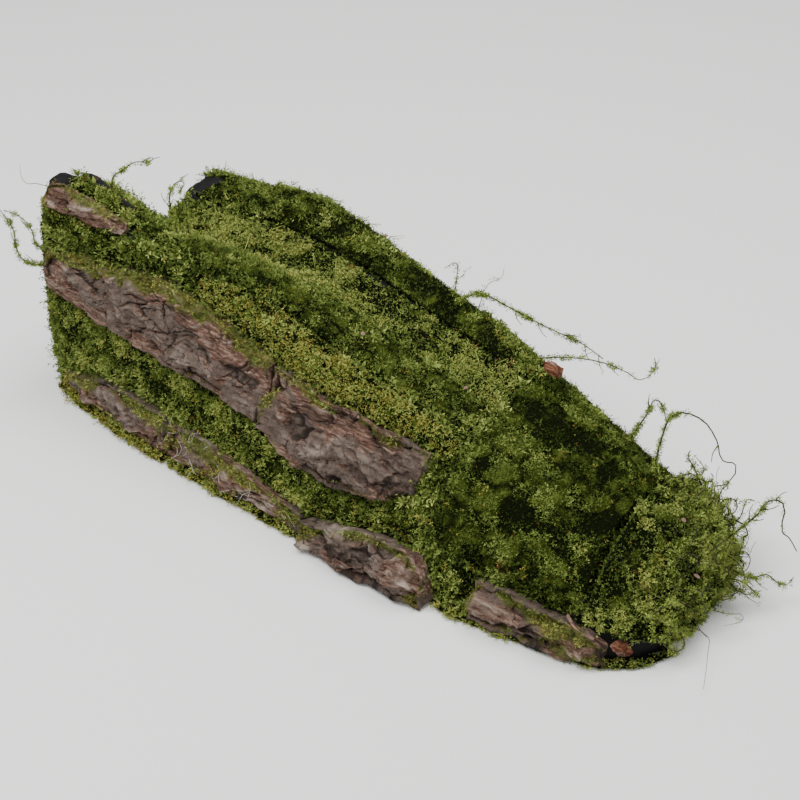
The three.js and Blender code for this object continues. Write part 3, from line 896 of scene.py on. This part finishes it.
def bark_slab(
    node, seed, fibrous, mossy, cracks=1.0, voxel=BARK_VOXEL, pale=0.0, step=1.7, ragged=1.0,
    shorten=1.0, torn_at=(), flat_at=(),
):
    """A slab of pine bark: flat plates in steps, cracks along the grain, and stringy torn parts.

    fibrous shifts how much of it is torn, mossy how much green dust it bears and pale how worn it
    is. step is the height of its plates. torn_at and flat_at are balls (x, y, z, radius in mm) of
    torn bark and of flat plates. ragged sways its outline and shorten draws in its right end.
    """
    slab = from_cad(node, node + "_piece", voxel)
    soften(slab, 0.5, 2)
    places, facing = coords(slab), normals(slab)
    left_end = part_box(node)[0].x
    middle = places.mean(0)
    axes = np.linalg.eigh(np.cov((places - middle).T))[1][:, ::-1]
    local = (places - middle) @ axes
    out = ramp(outward(places, facing), 0.0, 0.5)
    wavy = local + shifted(local, 0.016, (seed + 1, seed + 2, seed + 3), (0.006, 0.004))
    wavy += shifted(local, 0.005, (seed + 4, seed + 5, seed + 6), (0.0016, 0.0012))

    torn = ramp(noise(wavy, (0.03, 0.014, 0.03), seed + 40) * 0.7 + fibrous, -0.05, 0.25)
    for goal, balls in ((1, torn_at), (0, flat_at)):
        for x, y, z, radius in balls:
            far = np.linalg.norm((places - np.array(at(x, y, z))) * [0.7, 1, 1], axis=1) / MM
            far += 3 * noise(local, 0.006, seed + 41)
            torn = torn + (1 - ramp(far, 0.75 * radius, 1.1 * radius)) * (goal - torn)

    relief = rough_noise(wavy, (0.034, 0.012, 0.03), seed + 5, 5) * 4.2
    share = relief - np.floor(relief)
    stepped = np.floor(relief) + ramp(share, 0.84, 0.99)
    flaky = rough_noise(wavy, (0.011, 0.005, 0.01), seed + 6, 4) * 3.4
    flakes = np.floor(flaky) + ramp(flaky - np.floor(flaky), 0.6, 0.95)
    pits = ramp(rough_noise(local, (0.005, 0.0035, 0.005), seed + 10, 2), 0.25, 0.5)
    grit = rough_noise(local, 0.0026, seed + 9, 2) * 0.3
    plate_height = stepped * step + flakes * 0.75 + grit - pits * 0.9

    vein = np.abs(rough_noise(wavy, (0.024, 0.0075, 0.02), seed + 60, 4))
    cross = np.abs(rough_noise(wavy, (0.0075, 0.018, 0.02), seed + 61, 3))
    busy = ramp(noise(local, 0.016, seed + 62), -0.5, 0.4)
    split = (1 - ramp(vein, 0.008, 0.06)) * 0.7 * busy
    split = np.maximum(split, (1 - ramp(cross, 0.008, 0.045)) * 0.55 * busy)
    panel, seam = plates(wavy * [1, 2.1, 1], 0.023, seed + 63)
    open_seams = ramp(noise(local, 0.02, seed + 64), -0.3, 0.3)
    split = np.maximum(split, (1 - ramp(seam, 0.01, 0.07)) * 0.9 * open_seams)

    swirl = wavy + shifted(local, 0.013, (seed + 7, seed + 8, seed + 9), (0.004, 0.004))
    strings = rough_noise(swirl, (0.011, 0.0019, 0.006), seed + 70, 3)
    lumps = rough_noise(swirl, (0.015, 0.007, 0.02), seed + 71, 4)
    torn_height = strings * 2.0 + lumps * 5.0 + rough_noise(local, 0.0022, seed + 72, 2) * 0.5

    lobes = noise(local, (0.035, 0.017, 0.03), seed + 73) * 2.6 + (panel - 0.5) * 3.2
    lobes = lobes - 0.7 * (1 - ramp(seam, 0.0, 0.25))
    height = plate_height * (1 - torn) + torn_height * torn + lobes
    height -= split * 2.2 * cracks * (1 - 0.35 * torn)
    height -= np.percentile(height, 92)
    height = np.maximum(height, -7.0)
    moved = places + facing * (height * out * MM)[:, None]
    sway = np.stack([rough_noise(local, 0.01, seed + k, 3) for k in (14, 15)], 1)
    moved += (sway * [4.5, 3.0] * ragged * MM) @ axes[:, :2].T
    moved[:, 0] = left_end + (moved[:, 0] - left_end) * shorten
    moved[:, 2] = np.maximum(moved[:, 2], FLOOR_GAP)
    set_coords(slab, moved)
    soften(slab, 0.25, 1)
    places, turned = coords(slab), normals(slab)

    is_chip = node.startswith("chip")
    steep = ramp(1 - (turned * facing).sum(1), 0.08, 0.45) * out
    # Painted shade for the bark's colour: dark in cracks and low hollows, and darkened again on
    # steep step sides below
    shade = ramp(1 - split * cracks * 0.95, 0.0, 0.8) * (0.35 + 0.65 * ramp(height, -5.0, -1.5))
    side = np.abs(facing @ axes[:, 2]) < 0.45
    patchy = noise(places, 0.014, seed + 80)
    upper = near_points(places, places[side & (facing[:, 2] > 0.15)])
    under = near_points(places, places[side & (facing[:, 2] < 0.1)])
    rims = 0.75 * (1 - ramp(upper, 1.0, 8.0 + 7.0 * patchy))
    rims = rims + 0.45 * (1 - ramp(under, 0.5, 3.5 + 3.0 * patchy))
    green = np.clip(mossy + rims + 0.3 * patchy - 0.1, 0, 1) * (0.3 + 0.7 * out) * (not is_chip)
    # Painted highlight on raised plates and fibre ridges, plus pale worn patches where pale is set
    highlight_and_wear = ramp(strings, 0.15, 0.55) * torn * 0.5 + 0.3 * ramp(height, -1.2, 0.8)
    highlight_and_wear = highlight_and_wear + pale * ramp(noise(places, 0.01, seed + 90), 0.1, 0.7)
    highlight_and_wear = highlight_and_wear * ramp(noise(places, 0.004, seed + 91), -0.6, 0.6)
    looks = (shade * (1 - 0.3 * steep), torn * (0.75 + 0.5 * strings), steep, green, highlight_and_wear)
    for name, values in zip(BARK_LOOKS, looks):
        set_attribute(slab, name, np.clip(values, 0, 1))
    shade_smooth(slab)
    if is_chip:
        finish_piece(slab, CHIP, "chip", node)
    else:
        finish_piece(slab, BARK, "bark", node)
        overgrow(slab, node, green, seed)


def overgrow(slab, node, green, seed):
    """Small tufts of moss that creep over a slab's rim."""
    rng = np.random.default_rng(seed)
    corners = triangles(slab)

    def keep(middle, out):
        return ramp(green[corners].mean(1), 0.42, 0.7) * (outward(middle, out) > -0.1)

    roots, out = face_samples(coords(slab), corners, keep, rng, 2.6 * MM)
    out = out + np.array([0, 0, 0.4])
    plant("moss_on_" + node, roots, out, 3.8, 0.72, rng, LOW_SHOOTS, 6, wild=0.5, brown=0.3)


TINY = dict(cracks=0.3, voxel=CHIP_VOXEL, ragged=0.5)
BACK_BARK = dict(voxel=BACK_VOXEL)
SLABS = {  # the seed of each slab, how fibrous and how mossy it is, and what else differs
    "bark_upper_left": (100, 0.05, 0.05, dict(
        torn_at=[
            (-206, -65, 103, 13), (-88, -57, 96, 19), (-62, -59, 92, 17), (-48, -62, 84, 13),
            (-135, -57, 106, 10),
        ],
        flat_at=[
            (-185, -65, 93, 14), (-159, -64, 90, 16), (-135, -64, 86, 14), (-105, -67, 78, 9),
            (-60, -74, 60, 16),
        ],
    )),
    "bark_upper_right": (200, 0.05, 0.03, dict(
        torn_at=[(-12, -61, 84, 15), (12, -62, 79, 14), (32, -62, 76, 12)],
        flat_at=[(-14, -74, 58, 13), (18, -74, 56, 15), (42, -71, 60, 12)],
    )),
    "bark_lower_left": (300, 0.05, 0.15, {}),
    "bark_lower_middle": (400, 0.25, 0.12, dict(pale=0.5)),
    "bark_lower_right": (500, 0.0, 0.0, dict(step=2.4, pale=0.3, torn_at=[(72, -92, 20, 12)])),
    "bark_nose": (600, 0.15, 0.3, {}),
    "bark_end_chip": (700, 0.5, 0.05, dict(cracks=0.6, pale=0.5, shorten=0.87)),
    "bark_back_far": (800, 0.0, 0.1, BACK_BARK),
    "bark_back_near": (900, 0.0, 0.1, BACK_BARK),
    "chip_crest": (1000, 0.8, 0.0, TINY),
    "chip_nose_slab": (1100, 0.8, 0.0, TINY),
}
for node, (seed, fibrous, mossy, more) in SLABS.items():
    bark_slab(node, seed, fibrous, mossy, **more)


# ---- wiry stems ----

STEM_LEAF, WIRE_LEAF = 2.6, 2.8  # in mm


def tube(name, points, thickness):
    """A thin round stem through the points, closed at both ends. thickness is in mm."""
    curve = bpy.data.curves.new(name, "CURVE")
    curve.dimensions = "3D"
    curve.resolution_u = 3
    curve.bevel_depth = thickness * MM / 2
    curve.bevel_resolution = 1
    curve.use_fill_caps = True
    spline = curve.splines.new("BEZIER")
    spline.bezier_points.add(len(points) - 1)
    for i, (knot, point) in enumerate(zip(spline.bezier_points, points)):
        knot.co = point
        knot.handle_left_type = knot.handle_right_type = "AUTO"
        knot.radius = 1.0 - 0.45 * i / (len(points) - 1)
    made = linked(name, curve)
    select_only(made)
    bpy.ops.object.convert(target="MESH")
    return made


def along_curve(points, count):
    """Even places and directions along a smooth line through the points."""
    points = np.array([np.array(p) for p in points])
    fine = np.linspace(0, len(points) - 1, 40 * len(points))
    ends = np.vstack([2 * points[0] - points[1], points, 2 * points[-1] - points[-2]])
    i = np.minimum(fine.astype(int), len(points) - 2)
    t = (fine - i)[:, None]
    a, b, c, d = (ends[i + k] for k in range(4))
    bent = (2 * a - 5 * b + 4 * c - d) * t**2 + (3 * b - a - 3 * c + d) * t**3
    line = 0.5 * (2 * b + (c - a) * t + bent)
    run = np.concatenate([[0], np.cumsum(np.linalg.norm(np.diff(line, axis=0), axis=1))])
    want = np.linspace(0, run[-1], count)
    places = np.stack([np.interp(want, run, line[:, k]) for k in range(3)], 1)
    heading = np.gradient(places, axis=0)
    return places, heading / (np.linalg.norm(heading, axis=1, keepdims=True) + 1e-9)


def arrays_of(thing, tone, up):
    """A mesh's places, its faces and one palette place for them all. The mesh itself goes."""
    places, faces = coords(thing), triangles(thing)
    bpy.data.objects.remove(thing)
    return places, faces, np.full((len(places), 2), (tone, up))


def joined(name, groups):
    """One piece of several sets of places, faces and palette places."""
    places, faces, palettes = zip(*groups)
    firsts = np.cumsum([0] + [len(place) for place in places])
    faces = [face + first for face, first in zip(faces, firsts)]
    places = np.concatenate(places)
    places[:, 2] = np.maximum(places[:, 2], FLOOR_GAP)
    return mesh_from_arrays(name, places, np.concatenate(faces), np.concatenate(palettes))


def stem(node, points, thickness, leafy, twigs, tone=0.2, bare_from=1.0):
    """A stem with its side twigs and leaves. It bears 7 leaves for each mm where leafy is 1."""
    rng = np.random.default_rng(len(node) * 31 + int(thickness * 10))
    points = [at(*p) for p in points]
    groups = [arrays_of(tube("bare", points, thickness), tone, 0.3)]
    length = sum((b - a).length for a, b in zip(points, points[1:])) / MM
    places, heading = along_curve(points, 60)
    for _ in range(twigs):
        start = rng.integers(12, 58)
        side = np.cross(heading[start], rng.normal(size=3))
        side /= np.linalg.norm(side)
        reach = rng.uniform(4, 8) * MM
        bends = ((0, 0), (0.5, 0.6), (1.1, 0.9))
        path = [Vector(places[start] + (heading[start] * a + side * b) * reach) for a, b in bends]
        groups.append(arrays_of(tube("twig", path, thickness * 0.6), tone, 0.4))
        if leafy:
            groups.append(leaves_along(path, rng, 5, STEM_LEAF * 0.8))
    if leafy:
        count = int(length * leafy * 7)
        groups.append(leaves_along(points, rng, count, STEM_LEAF, bare_from))
    finish_piece(joined(node + "_leafy", groups), STEM, "stem", node)


def leaves_along(points, rng, count, leaf_length, bare_from=1.0):
    """Leaves in clumps along a line, fewer towards its tip and hardly any past bare_from."""
    places, heading = along_curve(points, 200)
    along = np.linspace(0, 1, len(places))
    clumps = np.clip(np.sin(along * rng.uniform(14, 22) + rng.uniform(0, 6)), 0, 1) ** 3
    weight = 0.1 + clumps * 1.6 + (1 - along) ** 2
    weight *= 1.02 - ramp(along, bare_from - 0.1, bare_from + 0.1)
    pick = rng.choice(len(places), max(count, 2), p=weight / weight.sum())
    places, heading = places[pick], heading[pick]
    count = len(places)
    axes = heading * 0.5 + rng.normal(size=(count, 3)) * 0.8
    lengths = leaf_length * MM * rng.uniform(0.5, 1.2, count)
    tones = rng.uniform(0.56, 0.84, count)
    return planted(FRONDS, places, axes, lengths, tones, rng)


STEMS = [  # name, thickness in mm, leafiness, side twigs, points in mm and what else differs
    ("stem_top_left", 1.1, 0.9, 3, [
        (-186, -33, 132), (-190, -31, 149), (-187, -24, 153), (-182, -18, 157), (-175, -13, 156),
    ], {}),
    ("stem_top_curl", 1.0, 0.9, 3, [
        (-148, -22, 120), (-157, -18, 139), (-158, -12, 147), (-154, -8, 148), (-155, -11, 143),
    ], {}),
    ("stem_top_side", 0.8, 0.5, 1, [
        (-148, -13, 115), (-152, -9, 136), (-150, -7, 143), (-142, -4, 142),
    ], {}),
    ("stem_left_long", 1.0, 1.0, 4, [
        (-222, -59, 90), (-234, -69, 94), (-241, -68, 101), (-246, -64, 109), (-257, -63, 119),
    ], {}),
    ("stem_left_short", 1.0, 0.6, 2, [
        (-222, -58, 102), (-231, -61, 103), (-236, -58, 109), (-245, -59, 117), (-254, -63, 120),
    ], {}),
    ("stem_left_wire", 0.45, 0, 0, [
        (-219, -52, 142), (-225, -60, 147), (-231, -62, 146), (-236, -61, 149), (-238, -59, 155),
    ], {}),
    ("stem_runner_upper", 1.0, 0.9, 6, [
        (10, 39, 100), (21, 47, 108), (37, 54, 102), (58, 61, 93), (80, 70, 84), (93, 73, 77),
    ], {}),
    ("stem_runner_lower", 0.8, 0.45, 3, [
        (62, 30, 88), (89, 43, 93), (105, 52, 91), (118, 58, 86), (125, 60, 83), (129, 69, 89),
        (127, 71, 93),
    ], {}),
    ("stem_crest_twig", 0.7, 0.3, 1, [(7, 43, 100), (6, 48, 117), (4, 50, 121), (-1, 45, 118)], {}),
    ("stem_crest_hair", 0.5, 0.1, 0, [
        (22, 47, 96), (22, 57, 110), (27, 63, 113), (26, 67, 117),
    ], {}),
    ("stem_arch_small", 1.0, 1.0, 2, [
        (138, 27, 64), (142, 41, 80), (143, 46, 85), (148, 47, 80), (151, 45, 75),
    ], {}),
    ("stem_arch_large", 1.2, 0.45, 2, [
        (161, 17, 60), (159, 27, 79), (160, 36, 88), (172, 43, 87), (184, 43, 77), (190, 41, 67),
        (197, 43, 66), (196, 33, 55),
    ], dict(tone=0.15, bare_from=0.42)),
    ("stem_nose_loop", 1.2, 0.6, 5, [
        (206, 19, 32), (217, 36, 46), (219, 43, 51), (226, 46, 51), (231, 39, 38), (235, 40, 35),
        (241, 39, 29),
    ], dict(tone=0.12, bare_from=0.6)),
    ("stem_nose_curl", 0.9, 0.8, 4, [
        (210, 13, 22), (227, 16, 19), (233, 22, 20), (238, 23, 17), (243, 26, 15), (245, 30, 19),
    ], {}),
    ("stem_nose_side", 0.8, 0.6, 2, [(212, 12, 15), (227, 9, 12), (234, 15, 14)], {}),
    ("stem_nose_bend", 0.5, 0.1, 0, [
        (212, -21, 18), (228, -14, 15), (236, -9, 13), (229, -17, 9),
    ], {}),
    ("stem_nose_drop", 0.5, 0, 0, [
        (211, -36, 15), (228, -33, 12), (231, -38, 8), (241, -60, 3),
    ], {}),
]
for node, thickness, leafy, twigs, points, more in STEMS:
    stem(node, points, thickness, leafy, twigs, **more)


def curl_path(rng, root, out, length, bends):
    """A wire's line: it starts along out and winds with a steady random turn."""
    steps = 7
    points, heading = [Vector(root)], Vector(out).normalized()
    axis = Vector(rng.normal(size=3)).normalized()
    for _ in range(steps):
        points.append(points[-1] + heading * (length * MM / steps))
        heading = Matrix.Rotation(bends / steps * rng.uniform(0.6, 1.4), 3, axis) @ heading
        points[-1].z = max(points[-1].z, 0.0015)
    return points


def tangle(name, seed, bed, where, count, length, thickness, leafy, tone, bends, rise=0.3, hug=0.0):
    """Many fine curled wires rooted on a piece, as one piece. hug lays them along the surface."""
    rng = np.random.default_rng(seed)
    bed = bpy.data.objects[bed]
    roots, out = face_samples(coords(bed), triangles(bed), where, rng, 3 * MM)
    groups = []
    for i in rng.permutation(len(roots))[:count]:
        way = out[i] * (1 - hug) + [0, 0, rise] + rng.normal(size=3) * (0.3 + hug)
        way -= out[i] * (way @ out[i] - 0.05) * hug
        reach, winding = length * rng.uniform(0.6, 1.3), bends * rng.choice([-1, 1])
        path = curl_path(rng, roots[i], way, reach, winding)
        wire = tube("wire", path, thickness * rng.uniform(0.7, 1.2))
        groups.append(arrays_of(wire, tone, 0.3))
        if leafy:
            groups.append(leaves_along(path, rng, int(length * leafy), WIRE_LEAF))
    finish_piece(joined(name, groups), STEM, "stem")


def back_of_nose(middle, out):
    far_side = (middle[:, 1] - SHIFT.y > 0.012) | (middle[:, 0] - SHIFT.x > 0.206)
    return far_side & (out[:, 2] > -0.2) & (middle[:, 2] > 0.008)


def top_of_nose(middle, out):
    return (out[:, 2] > 0.3) & (middle[:, 2] > 0.02)


def front(middle, out):
    return out[:, 1] < -0.2


CRUMBS = [
    (-50, 53, 119), (-9, -23, 106), (196, -12, 63), (213, -24, 41), (-118, -58, 101), (60, -20, 96),
]


def litter():
    """Crumbs of bark and a short dark twig caught in the moss."""
    rng = np.random.default_rng(12)
    made = []
    for crumb in CRUMBS:
        bpy.ops.object.select_all(action="DESELECT")
        bpy.ops.mesh.primitive_ico_sphere_add(subdivisions=2, radius=1.0 * MM, location=(0, 0, 0))
        bpy.ops.object.mode_set(mode="EDIT")
        bpy.ops.transform.resize(value=(rng.uniform(1.6, 2.6), 1.2, 0.6))
        angle = rng.uniform(0, 3)
        bpy.ops.transform.rotate(value=angle, orient_axis="Z", center_override=(0, 0, 0))
        bpy.ops.transform.translate(value=at(*crumb))
        bpy.ops.object.mode_set(mode="OBJECT")
        made.append(bpy.context.object)
    made.append(tube("twig", [at(166, -76, 26), at(174, -79, 22), at(184, -78, 20)], 2.2))
    select_only(*made)
    bpy.ops.object.join()
    piece = bpy.context.object
    piece.name = "moss_litter"
    for name, value in zip(BARK_LOOKS, (0.9, 0.5, 0.0, 0.0, 0.25)):
        set_attribute(piece, name, np.full(len(piece.data.vertices), value))
    finish_piece(piece, CHIP, "chip")


litter()
NOSE, WEB = "moss_nose_bed", "bark_lower_middle_piece"
tangle("moss_nose_curls", 8, NOSE, back_of_nose, 60, 25, 0.9, 2.6, 0.15, 5.6, rise=0.4)
tangle("moss_nose_wires", 9, NOSE, back_of_nose, 22, 28, 0.55, 0, 0.08, 5.5)
tangle("moss_top_wires", 10, NOSE, top_of_nose, 26, 26, 0.5, 0, 0.05, 4.5, rise=0.1, hug=0.7)
tangle("web_threads", 11, WEB, front, 34, 15, 0.25, 0, 0.99, 3.0, rise=0, hug=0.96)


# ---- floor, light and camera ----

bpy.ops.object.select_all(action="DESELECT")
bpy.ops.mesh.primitive_plane_add(size=6, location=(0, 0, 0))
floor = bpy.context.object
floor.name = "floor"
paper = Finish("floor_paper", ior=1.3)
tooth = paper.grain(0.8, detail=2.0)
white = paper.mix(tooth * 0.05, (0.9, 0.9, 0.89), (0.86, 0.86, 0.85))
floor.data.materials.append(paper.finished(base_color=white, roughness=0.9))

world = bpy.data.worlds.new("studio")
bpy.context.scene.world = world
world.use_nodes = True
sky = world.node_tree.nodes["Background"]
sky.inputs["Color"].default_value = (1.0, 1.0, 1.0, 1.0)
sky.inputs["Strength"].default_value = 0.5


def softbox(name, place, size, watts):
    bpy.ops.object.light_add(type="AREA", location=place)
    lamp = bpy.context.object
    lamp.name = name
    lamp.data.size = size
    lamp.data.energy = watts
    way = Vector((0, 0, 0.05)) - Vector(place)
    lamp.rotation_euler = way.to_track_quat("-Z", "Y").to_euler()


softbox("key", (-0.35, -0.6, 1.3), 0.7, 20)
softbox("top", (0.2, 0.4, 1.4), 0.9, 14)
softbox("fill", (1.1, -0.9, 0.6), 1.0, 5)

azimuth, elevation = math.radians(36.5), math.radians(36)
flat = math.cos(elevation)
back = Vector((math.sin(azimuth) * flat, -math.cos(azimuth) * flat, math.sin(elevation)))
bpy.ops.object.camera_add(location=at(0, 0, 50) + back * 1.111)
camera = bpy.context.object
camera.rotation_euler = (-back).to_track_quat("-Z", "Y").to_euler()
camera.data.lens = 85
camera.data.sensor_width = 36
bpy.context.scene.camera = camera
